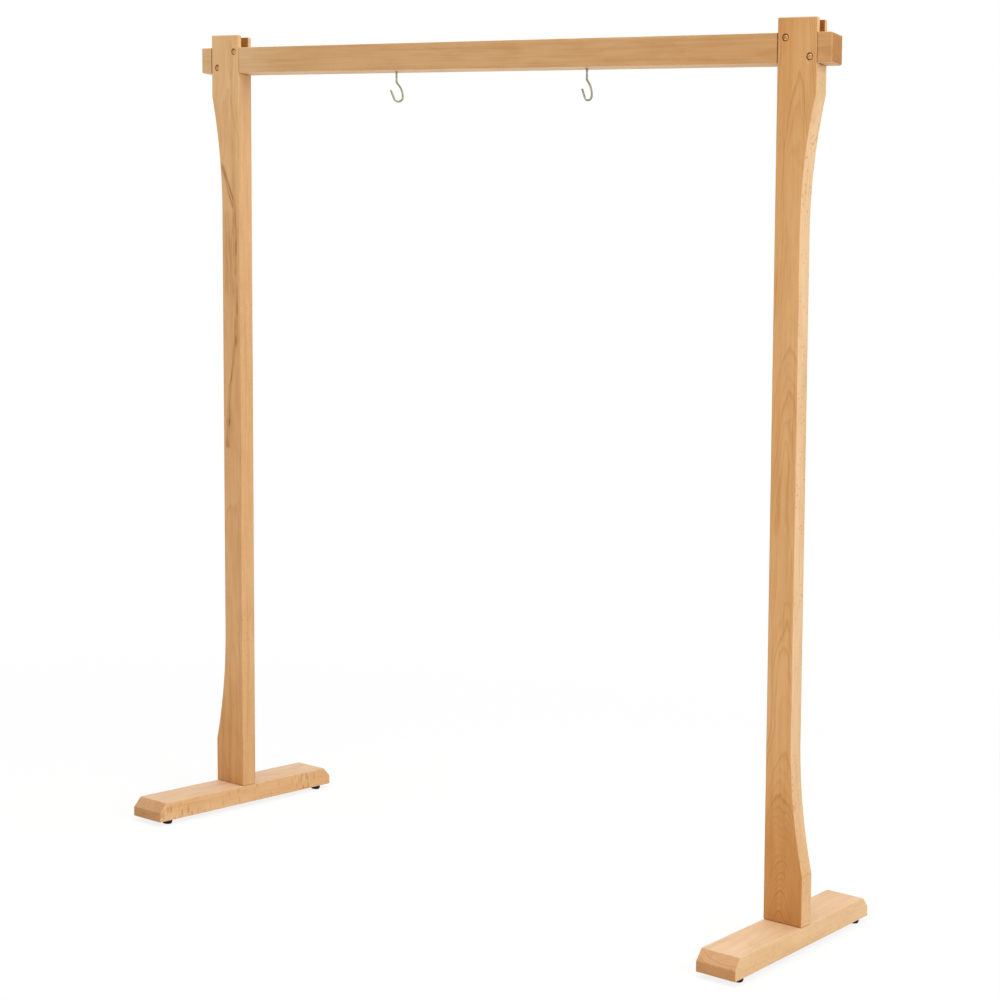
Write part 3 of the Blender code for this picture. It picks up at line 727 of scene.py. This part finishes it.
# Posts. Each is one beech board on edge, straight on the inside and scooped on the outside,
# with a slot sawn down its top end that leaves an open fork for the bar.
POST_BLOCK_TOP = 0.128
POST_BLOCK_BOTTOM = 0.092
POST_SCOOP_RUN = 0.240
POST_WAIST = 0.049
SCOOP_STEPS = 40
FORK_SLOT = 0.0206
HEAD_POCKET_RADIUS = 0.0067
HEAD_POCKET_DEPTH = 0.0043
BAR_BOLT_HOLE_RADIUS = 0.0033
SLEEVE_HOLE_RADIUS = 0.0049
SLEEVE_HOLE_DEPTH = 0.0223
INSERT_HOLE_RADIUS = 0.0064
INSERT_HOLE_DEPTH = 0.0263
GRAIN_ALONG_Z = (0, 0, 0)
# Colour of the painted shade inside the fork slots and the bar's housings, where little light reaches.
PAINTED_SHADE_TONE = (0.50, 0.36, 0.155, 1.0)
SHADE_SOFTNESS = 0.0006
SHADE_MARGIN = 0.0002
HEART_TONE = (0.50, 0.36, 0.22, 1.0)
HEART_SWAY = 0.010
HEART_SWAY_SCALE = (10, 10, 22)
HEART_LINE_SCALE = (140, 60, 8)
BAR_BOLTS = [f"{side}_{level}" for side in SIDES for level in ("upper", "lower")]


def scoop_arc(width, level, direction):
    """One end of the scoop, from the full width into the waist, where it runs out upright."""
    dip = width - POST_WAIST
    radius = (POST_SCOOP_RUN ** 2 + dip ** 2) / (2 * dip)
    sweep = math.asin(POST_SCOOP_RUN / radius)
    arc = []
    for step in range(SCOOP_STEPS + 1):
        angle = sweep * (1 - step / SCOOP_STEPS)
        height = level + direction * radius * math.sin(angle)
        arc.append((POST_WAIST + radius * (1 - math.cos(angle)), height))
    return arc


def box_shade():
    """A mask of 1 inside a box, with soft sides, for painted shade in a cut in a board."""
    group, given, made = new_tree(
        "ShaderNodeTree",
        "box_shade",
        {"Vector": ["Place", "Middle", "Half Size"], "Float": ["Softness"]},
        {"Float": ["Mask"]},
    )
    away = calculate_vector(group, "SUBTRACT", given["Place"], given["Middle"])
    past = calculate_vector(group, "SUBTRACT", calculate_vector(group, "ABSOLUTE", away), given["Half Size"])
    sides = add_node(group, "ShaderNodeSeparateXYZ", {0: past}).outputs
    furthest = calculate(group, "MAXIMUM", sides[0], sides[1], sides[2])
    edge = calculate(group, "DIVIDE", furthest, given["Softness"])
    group.links.new(remap(group, edge, 1.0, 0.0), made["Mask"])
    return group


def heart_streak():
    """A brown streak that runs down a board from one point to another, drawn by thin wavering lines."""
    group, given, made = new_tree(
        "ShaderNodeTree",
        "heart_streak",
        {"Vector": ["Place"], "Float": STREAK_VALUES},
        {"Float": ["Mask"]},
    )
    axes = add_node(group, "ShaderNodeSeparateXYZ", {0: given["Place"]}).outputs
    fall = calculate(group, "SUBTRACT", given["Top Level"], axes[2])
    length = calculate(group, "SUBTRACT", given["Top Level"], given["Foot Level"])
    run = calculate(group, "DIVIDE", fall, length)
    shift = calculate(group, "SUBTRACT", given["Foot Across"], given["Top Across"])
    sway = centred_noise(group, given["Place"], HEART_SWAY_SCALE)
    sway = calculate(group, "MULTIPLY", sway, HEART_SWAY)
    middle = calculate(group, "ADD", given["Top Across"], calculate(group, "MULTIPLY", run, shift), sway)
    away = calculate(group, "SUBTRACT", axes[0], middle)
    aside = calculate(group, "DIVIDE", calculate(group, "ABSOLUTE", away), given["Width"])
    core = remap(group, aside, 1.0, 0.4)
    ends = calculate(group, "MULTIPLY", remap(group, run, -0.08, 0.10), remap(group, run, 1.06, 0.94))
    along = add_node(group, "ShaderNodeCombineXYZ", {0: away, 1: axes[1], 2: axes[2]}).outputs[0]
    ripple = calculate(group, "ABSOLUTE", centred_noise(group, along, HEART_LINE_SCALE))
    lines = remap(group, ripple, 0.070, 0.015, 0.25, 1.0)
    mask = calculate(group, "MULTIPLY", core, ends, given["Strength"], lines)
    group.links.new(mask, made["Mask"])
    return group


def darken(material, colour, mask, tone):
    """Darken a board's colour under a mask, and return the colour that goes into its shader."""
    tree = material.node_tree
    darker = mix_colour(tree, mask, colour, tone, "MULTIPLY")
    tree.links.new(darker, tree.nodes["Principled BSDF"].inputs["Base Color"])
    return darker


def shade_box(material, place, colour, middle, half_size):
    """Darken a cut in a board with painted shade, the cut's box measured from the board's middle along its
    grain.
    """
    box = {"Place": place, "Middle": middle, "Half Size": half_size, "Softness": SHADE_SOFTNESS}
    mask = add_node(material.node_tree, "ShaderNodeGroup", box, node_tree=BOX_SHADE).outputs["Mask"]
    return darken(material, colour, mask, PAINTED_SHADE_TONE)


STREAK_VALUES = ["Top Across", "Top Level", "Foot Across", "Foot Level", "Width", "Strength"]
BOX_SHADE = box_shade()
HEART_STREAK = heart_streak()
# On the posts the side-face tone is painted light and shade on their left and right faces, partly the wood's
# own tone. It is paler and creamier on the right post and a little darker on the left.
POST_GRAIN = {
    "left": {
        "Seed": 5.3, "Heart Offset": 0.010, "Heart Depth": 0.110, "Lean": 0.012, "Ring Width": 0.0026,
        "Wander": 0.03, "Figure": 0.40, "Ray Reach": 0.009, "Ray Run": 0.006, "Ray Mark": 0.25,
        "Streak Mark": 0.9, "Patchiness": 0.15, "Low Warmth": 0.40, "High Warmth": -0.30,
        "Pale": (0.84, 0.520, 0.255, 1.0), "Warm": (0.70, 0.365, 0.140, 1.0),
        "Edge Tone": (0.91, 0.94, 0.98, 1.0),
    },
    "right": {
        "Seed": 7.1, "Heart Offset": -0.004, "Heart Depth": 0.098, "Lean": 0.022, "Flare": 0.046,
        "Ring Width": 0.0015, "Wander": 0.022, "Figure": 0.62, "Ray Reach": 0.009, "Ray Run": 0.0085,
        "Ray Mark": 0.65, "Streak Mark": 0.6, "Patchiness": 0.5, "Low Warmth": 0.50, "High Warmth": 0.02,
        "Pale": (0.872, 0.530, 0.250, 1.0), "Warm": (0.640, 0.302, 0.092, 1.0),
        "Edge Tone": (1.02, 1.25, 1.70, 1.0),
    },
}
POST_STREAKS = {
    "left": [
        (-0.010, 0.530, 0.022, 0.440, 0.0095, 0.8),
        (0.027, 0.440, 0.028, 0.300, 0.0045, 0.7),
        (0.008, 0.430, 0.008, 0.255, 0.0190, 0.4),
        (0.028, 0.275, 0.025, 0.150, 0.0070, 0.7),
        (0.025, 0.170, 0.001, -0.015, 0.0065, 0.8),
        (0.002, -0.008, 0.003, -0.070, 0.0090, 0.9),
    ],
    "right": [],
}
bar_low, bar_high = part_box("crossbar")
for side, sign in SIDES.items():
    low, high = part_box(side + "_post")
    size = high - low
    middle = (low + high) / 2
    upper = scoop_arc(size.x, size.z - POST_BLOCK_TOP - POST_SCOOP_RUN, 1)
    lower = scoop_arc(size.x, POST_BLOCK_BOTTOM + POST_SCOOP_RUN, -1)
    outline = [(0, 0), (0, size.z), (size.x, size.z), *upper, *lower[::-1], (size.x, 0)]
    outline = [(sign * (x - size.x / 2), z - size.z / 2) for x, z in outline]
    mesh = prism_mesh(side + "_post_board", outline, size.y, Matrix.Translation(middle) @ FACING_FRONT)
    post = link_object(side + "_post_board", mesh)
    slot_height = high.z - bar_low.z + CUT_PAST
    slot_mesh = prism_mesh("fork_slot", rectangle(2 * size.x, FORK_SLOT), slot_height, Matrix())
    slot_place = Matrix.Translation((middle.x, middle.y, bar_low.z + slot_height / 2))
    cut_shape(post, slot_mesh, slot_place)
    ease_edges(post, EDGE_ROUND)
    front_steps = [(HEAD_POCKET_RADIUS, HEAD_POCKET_DEPTH), (BAR_BOLT_HOLE_RADIUS, size.y / 2)]
    rear_steps = [(HEAD_POCKET_RADIUS, HEAD_POCKET_DEPTH), (SLEEVE_HOLE_RADIUS, SLEEVE_HOLE_DEPTH)]
    for bolt_name in BAR_BOLTS:
        bolt = box_middle(bolt_name + "_bar_bolt")
        if bolt_name.startswith(side):
            cut_hole(post, front_steps, Matrix.Translation((bolt.x, low.y, bolt.z)) @ FACING_FRONT)
            cut_hole(post, rear_steps, Matrix.Translation((bolt.x, high.y, bolt.z)) @ FACING_REAR)
    for edge in EDGES:
        insert = box_middle(f"{side}_{edge}_post_insert")
        mouth = Matrix.Translation((insert.x, insert.y, low.z)) @ FACING_DOWN
        cut_hole(post, [(INSERT_HOLE_RADIUS, INSERT_HOLE_DEPTH)], mouth)
    smooth_shading(post)
    material, place, colour = beech_material(side + "_post_beech", GRAIN_ALONG_Z, middle, POST_GRAIN[side])
    # Painted shade on the faces inside the fork slot, where little light gets in.
    slot_middle = (0, 0, (bar_low.z + high.z) / 2 - middle.z)
    slot_half = (size.x, FORK_SLOT / 2 + SHADE_MARGIN, (high.z - bar_low.z) / 2 + SHADE_MARGIN)
    colour = shade_box(material, place, colour, slot_middle, slot_half)
    for streak in POST_STREAKS[side]:
        run = {"Place": place, **dict(zip(STREAK_VALUES, streak))}
        mask = add_node(material.node_tree, "ShaderNodeGroup", run, node_tree=HEART_STREAK).outputs["Mask"]
        colour = darken(material, colour, mask, HEART_TONE)
    finish_piece(post, material, "frame", [side + "_post"])


# Foot bolts. Zinc-plated socket screws come up from pockets under each foot, with a washer
# under the head, into brass threaded inserts that are screwed into the post's end.
FOOT_BOLT_PROFILE = [
    (0, 0), (0.0058, 0), (0.0063, -0.0002), (0.0065, -0.0006), (0.0065, -0.0077), (0.0063, -0.0080),
    (0.0040, -0.0080), (0.0040, -0.0595), (0.0034, -0.0603), (0, -0.0603),
]
FOOT_SOCKET_ACROSS = 0.006
FOOT_SOCKET_DEPTH = 0.008
WASHER_PROFILE = [
    (0.0043, 0), (0.0096, 0), (0.0100, -0.0003), (0.0100, -0.0013), (0.0097, -0.0016), (0.0043, -0.0016),
    (0.0043, 0),
]
INSERT_BORE = 0.0043
INSERT_ROOT = 0.0055
INSERT_CREST = 0.0061
INSERT_LENGTH = 0.025
INSERT_TURNS = 8
BRASS_BRIGHT = (0.68, 0.40, 0.165, 1.0)
BRASS_DULL = (0.38, 0.205, 0.075, 1.0)


def hexagon(across):
    """Corners of a six-sided socket from its size across the flats."""
    reach = across / math.sqrt(3)
    return [(reach * math.cos(k * math.pi / 3), reach * math.sin(k * math.pi / 3)) for k in range(6)]


def under_posts(kind):
    """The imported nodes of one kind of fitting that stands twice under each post."""
    return [f"{side}_{edge}_{kind}" for side in SIDES for edge in EDGES]


bolt_template = turned_template("foot_bolt", FOOT_BOLT_PROFILE)
socket_mesh = prism_mesh("socket", hexagon(FOOT_SOCKET_ACROSS), FOOT_SOCKET_DEPTH, Matrix())
cut_shape(bolt_template, socket_mesh, Matrix())
bolt_points = lowest_points(under_posts("foot_bolt"))
place_fittings("foot_bolts", bolt_template, FACING_DOWN, 3, zinc, bolt_points)

washer_template = turned_template("foot_washer", WASHER_PROFILE)
washer_points = lowest_points(under_posts("foot_washer"))
place_fittings("foot_washers", washer_template, FACING_DOWN, 4, zinc, washer_points)

insert_profile = [(INSERT_BORE, 0), (INSERT_ROOT, 0)]
for turn in range(INSERT_TURNS):
    depth = INSERT_LENGTH * (turn + 0.5) / INSERT_TURNS
    insert_profile += [(INSERT_CREST, -depth), (INSERT_ROOT, -INSERT_LENGTH * (turn + 1) / INSERT_TURNS)]
insert_profile += [(INSERT_BORE, -INSERT_LENGTH), (INSERT_BORE, 0)]
insert_template = turned_template("post_insert", insert_profile)
brass_look = {"Patches": 240.0, "Fresh": BRASS_BRIGHT, "Worn": BRASS_DULL, "Wear": 0.7,
              "Least Roughness": 0.16, "Added Roughness": 0.20}
brass = fitting_material("bolt_brass", brass_look, metallic=1.0, bump=0.15)
insert_points = lowest_points(under_posts("post_insert"))
place_fittings("post_inserts", insert_template, FACING_DOWN, 5, brass, insert_points)


# Crossbar. One beech bar on edge, rounded over at both ends, with a shallow housing front and back
# at each post, so that only a thin web drops into the fork. A hair of play shows as a dark line
# beside each post, deepened by painted shade on the bar inside each housing.
HOUSING_PLAY = 0.0005
HOUSING_DEPTH = 0.010
HOOK_HOLE_RADIUS = 0.0023
HOOK_HOLE_DEPTH = 0.0225
GRAIN_ALONG_X = (0, -math.pi / 2, 0)
BAR_EDGE_ROUND = 0.0010
END_ROUND = 0.0055
END_STEPS = 5
# On the bar the side-face tone is painted light on its top and underside. They come out paler and creamier,
# as the floor lights the underside.
BAR_GRAIN = {
    "Seed": 6.4, "Heart Offset": 0.008, "Heart Depth": 0.11, "Lean": 0.012, "Ring Width": 0.0055,
    "Wander": 0.03, "Figure": 0.18, "Ray Reach": 0.009, "Ray Run": 0.006, "Ray Mark": 0.35,
    "Streak Mark": 0.7, "Patchiness": 0.6, "Low Warmth": -0.80, "High Warmth": 0.46,
    "Pale": (0.77, 0.490, 0.250, 1.0), "Warm": (0.655, 0.355, 0.145, 1.0),
    "Edge Tone": (1.03, 1.17, 1.42, 1.0), "End Tone": (0.70, 0.63, 0.54, 1.0),
}


def round_ends(mesh):
    """Round the edges about both ends of a bar over, as a router leaves them; its length is X."""
    shape = bmesh.new()
    shape.from_mesh(mesh)
    rim = [edge for edge in shape.edges if abs(edge.verts[0].co.x - edge.verts[1].co.x) < MERGE_GAP]
    bmesh.ops.bevel(shape, geom=rim, offset=END_ROUND, offset_type="OFFSET", segments=END_STEPS,
                    profile=0.5, affect="EDGES", clamp_overlap=True)
    shape.to_mesh(mesh)
    shape.free()


bar_size = bar_high - bar_low
bar_middle = (bar_low + bar_high) / 2
post_low, post_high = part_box("right_post")
notch_from = post_low.x - HOUSING_PLAY
notch_to = post_high.x + HOUSING_PLAY
web = bar_size.y / 2 - HOUSING_DEPTH
bar_place = Matrix.Translation(bar_middle)
bar_mesh = prism_mesh("crossbar_board", rectangle(bar_size.x, bar_size.y), bar_size.z, bar_place)
round_ends(bar_mesh)
crossbar = link_object("crossbar_board", bar_mesh)
ease_edges(crossbar, BAR_EDGE_ROUND)
notch_outline = [(notch_from, web), (notch_to, web), (notch_to, bar_size.y), (notch_from, bar_size.y)]
for sign in SIDES.values():
    for face in (-1, 1):
        notch = [(sign * x, face * y) for x, y in notch_outline]
        notch_mesh = prism_mesh("housing", notch, bar_size.z + CUT_PAST, Matrix())
        cut_shape(crossbar, notch_mesh, bar_place)
for bolt_name in BAR_BOLTS:
    bolt = box_middle(bolt_name + "_bar_bolt")
    mouth = Matrix.Translation((bolt.x, web, bolt.z)) @ FACING_REAR
    cut_hole(crossbar, [(SLEEVE_HOLE_RADIUS, 2 * web + CUT_PAST)], mouth)
hooks = {joint["child"]: Vector(joint["pos_m"]) for joint in frame["record"]["behaviour"]["joints"]}
for place in hooks.values():
    cut_hole(crossbar, [(HOOK_HOLE_RADIUS, HOOK_HOLE_DEPTH)], Matrix.Translation(place) @ FACING_DOWN)
smooth_shading(crossbar)
material, place, colour = beech_material("crossbar_beech", GRAIN_ALONG_X, bar_middle, BAR_GRAIN)
# Painted shade on the bar's faces inside each housing, where the post shades them.
for sign in SIDES.values():
    housing_middle = (0, 0, sign * (notch_from + notch_to) / 2)
    housing_half = (bar_size.z, bar_size.y, (notch_to - notch_from) / 2 + SHADE_MARGIN)
    colour = shade_box(material, place, colour, housing_middle, housing_half)
finish_piece(crossbar, material, "frame", ["crossbar"])


# Bar bolts. Two brass socket bolts go through each fork and the bar's web from the front,
# into sleeve nuts with the same low heads at the back. All heads sit in shallow pockets.
HEAD_PROFILE = [
    (0, 0), (0.0024, 0), (0.0033, -0.0001), (0.0042, -0.00035), (0.0049, -0.0008), (0.0055, -0.0013),
    (0.0059, -0.0019), (0.0060, -0.0026), (0.0057, -0.0030),
]
BOLT_SHANK = [(0.0030, -0.0030), (0.0030, -0.0325), (0.0025, -0.0330), (0, -0.0330)]
SLEEVE = [
    (0.0046, -0.0030), (0.0046, -0.0207), (0.0043, -0.0210), (0.0033, -0.0210), (0.0033, -0.0035),
    (0, -0.0035),
]
BAR_SOCKET_ACROSS = 0.004
BAR_SOCKET_DEPTH = 0.0030
BAR_FITTINGS = [("bar_bolt", BOLT_SHANK, FACING_FRONT, 0, 6), ("sleeve_nut", SLEEVE, FACING_REAR, 1, 7)]

for kind, body, facing, head_end, seed in BAR_FITTINGS:
    template = turned_template(kind, HEAD_PROFILE + body)
    socket_mesh = prism_mesh("socket", hexagon(BAR_SOCKET_ACROSS), BAR_SOCKET_DEPTH, Matrix())
    cut_shape(template, socket_mesh, Matrix())
    places = {}
    for bolt_name in BAR_BOLTS:
        node = f"{bolt_name}_{kind}"
        middle = box_middle(node)
        places[node] = (middle.x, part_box(node)[head_end].y, middle.z)
    place_fittings(kind + "s", template, facing, seed, brass, places)


# Hooks. Two screw hooks of bent brass wire are turned into the underside of the bar, each left
# facing its own way. The last threads show at the wood, and the tip is rounded.
HOOK_WIRE = 0.004
HOOK_BITE = 0.022
HOOK_SHANK = 0.020
NECK_RADIUS = 0.004
NECK_TURN = math.radians(40)
SHOULDER = 0.006
FLANK_RADIUS = 0.035
BOWL_RADIUS = 0.0095
BOWL_TURN = math.radians(157)
TIP = 0.016
ARC_STEP = math.radians(4)
HOOK_YAW = {"left_hook": math.radians(21), "right_hook": math.radians(-12)}
WIRE_SIDES = 24
TIP_RINGS = 12
THREAD_PITCH = 0.0016
THREAD_RIDGE = 0.0004
THREAD_SHOWING = 0.005
THREAD_STEPS = 20
RIDGE_SIDES = 6
HOOK_BRIGHT = (0.40, 0.38, 0.265, 1.0)
HOOK_DULL = (0.22, 0.205, 0.148, 1.0)


def hook_path():
    """Points of the hook in its own plane, from the screwed-in end; heading is from straight down."""
    spot = Vector((0, 0, HOOK_BITE))
    heading = 0.0
    points = [spot]
    runs = [(HOOK_BITE + HOOK_SHANK, NECK_RADIUS, NECK_TURN), (SHOULDER, FLANK_RADIUS, -NECK_TURN),
            (0, BOWL_RADIUS, -BOWL_TURN), (TIP, 0, 0)]
    for length, radius, bend in runs:
        if length:
            spot = spot + length * Vector((math.sin(heading), 0, -math.cos(heading)))
            points.append(spot)
        steps = math.ceil(abs(bend) / ARC_STEP)
        for step in range(steps):
            half_turn = bend / steps / 2
            chord = 2 * radius * math.sin(abs(half_turn))
            spot = spot + chord * Vector((math.sin(heading + half_turn), 0, -math.cos(heading + half_turn)))
            heading += 2 * half_turn
            points.append(spot)
    return points


def wire_hook_tree():
    """A round wire along a path, with a rounded far end and a screw thread up its near end."""
    tree, given, made = new_tree(
        "GeometryNodeTree",
        "wire_hook",
        {"Geometry": ["Geometry"], "Float": ["Wire", "Thread Length", "Thread Turns", "Ridge"],
         "Int": ["Sides"], "Vector": ["Thread Foot"], "Material": ["Material"]},
        {"Geometry": ["Geometry"]},
    )
    wire_radius = calculate(tree, "MULTIPLY", given["Wire"], 0.5)
    path = add_node(tree, "GeometryNodeMeshToCurve", {"Mesh": given["Geometry"]}).outputs[0]
    section = {"Resolution": given["Sides"], "Radius": wire_radius}
    section = add_node(tree, "GeometryNodeCurvePrimitiveCircle", section).outputs[0]
    swept = {"Curve": path, "Profile Curve": section, "Fill Caps": True}
    wire = add_node(tree, "GeometryNodeCurveToMesh", swept).outputs[0]
    ball = {"Segments": given["Sides"], "Rings": TIP_RINGS, "Radius": wire_radius}
    ball = add_node(tree, "GeometryNodeMeshUVSphere", ball).outputs[0]
    last_point = {"Start Size": 0, "End Size": 1}
    far_end = add_node(tree, "GeometryNodeCurveEndpointSelection", last_point).outputs[0]
    capped = {"Points": path, "Selection": far_end, "Instance": ball}
    tip = add_node(tree, "GeometryNodeInstanceOnPoints", capped).outputs[0]
    helix = {"Resolution": THREAD_STEPS, "Rotations": given["Thread Turns"], "Start Radius": wire_radius,
             "End Radius": wire_radius, "Height": given["Thread Length"]}
    helix = add_node(tree, "GeometryNodeCurveSpiral", helix).outputs[0]
    lifted = {"Geometry": helix, "Translation": given["Thread Foot"]}
    helix = add_node(tree, "GeometryNodeTransform", lifted).outputs[0]
    ridge = {"Resolution": RIDGE_SIDES, "Radius": given["Ridge"]}
    ridge = add_node(tree, "GeometryNodeCurvePrimitiveCircle", ridge).outputs[0]
    thread = {"Curve": helix, "Profile Curve": ridge, "Fill Caps": True}
    thread = add_node(tree, "GeometryNodeCurveToMesh", thread).outputs[0]
    joined = tree.nodes.new("GeometryNodeJoinGeometry")
    for part in (thread, tip, wire):
        tree.links.new(part, joined.inputs[0])
    smooth = add_node(tree, "GeometryNodeSetShadeSmooth", {"Geometry": joined.outputs[0]}).outputs[0]
    solid = add_node(tree, "GeometryNodeRealizeInstances", {"Geometry": smooth}).outputs[0]
    finish = {"Geometry": solid, "Material": given["Material"]}
    tree.links.new(add_node(tree, "GeometryNodeSetMaterial", finish).outputs[0], made["Geometry"])
    return tree


hook_look = {"Patches": 200.0, "Fresh": HOOK_BRIGHT, "Worn": HOOK_DULL, "Wear": 0.7,
             "Least Roughness": 0.24, "Added Roughness": 0.20}
hook_brass = fitting_material("hook_brass", hook_look, metallic=1.0, bump=0.12)
WIRE_HOOK_TREE = wire_hook_tree()
thread_length = HOOK_BITE - THREAD_PITCH + THREAD_SHOWING
for hook_name, place in hooks.items():
    stance = Matrix.Translation(place) @ Matrix.Rotation(HOOK_YAW[hook_name], 4, "Z")
    points = [stance @ point for point in hook_path()]
    mesh = bpy.data.meshes.new(hook_name + "_wire")
    mesh.from_pydata(points, [(index, index + 1) for index in range(len(points) - 1)], [])
    hook = link_object(hook_name + "_wire", mesh)
    values = {
        "Wire": HOOK_WIRE,
        "Sides": WIRE_SIDES,
        "Thread Foot": place - Vector((0, 0, THREAD_SHOWING)),
        "Thread Length": thread_length,
        "Thread Turns": thread_length / THREAD_PITCH,
        "Ridge": THREAD_RIDGE,
        "Material": hook_brass,
    }
    grow(hook, WIRE_HOOK_TREE, values)
    finish_piece(hook, hook_brass, hook_name, [hook_name])


low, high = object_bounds()
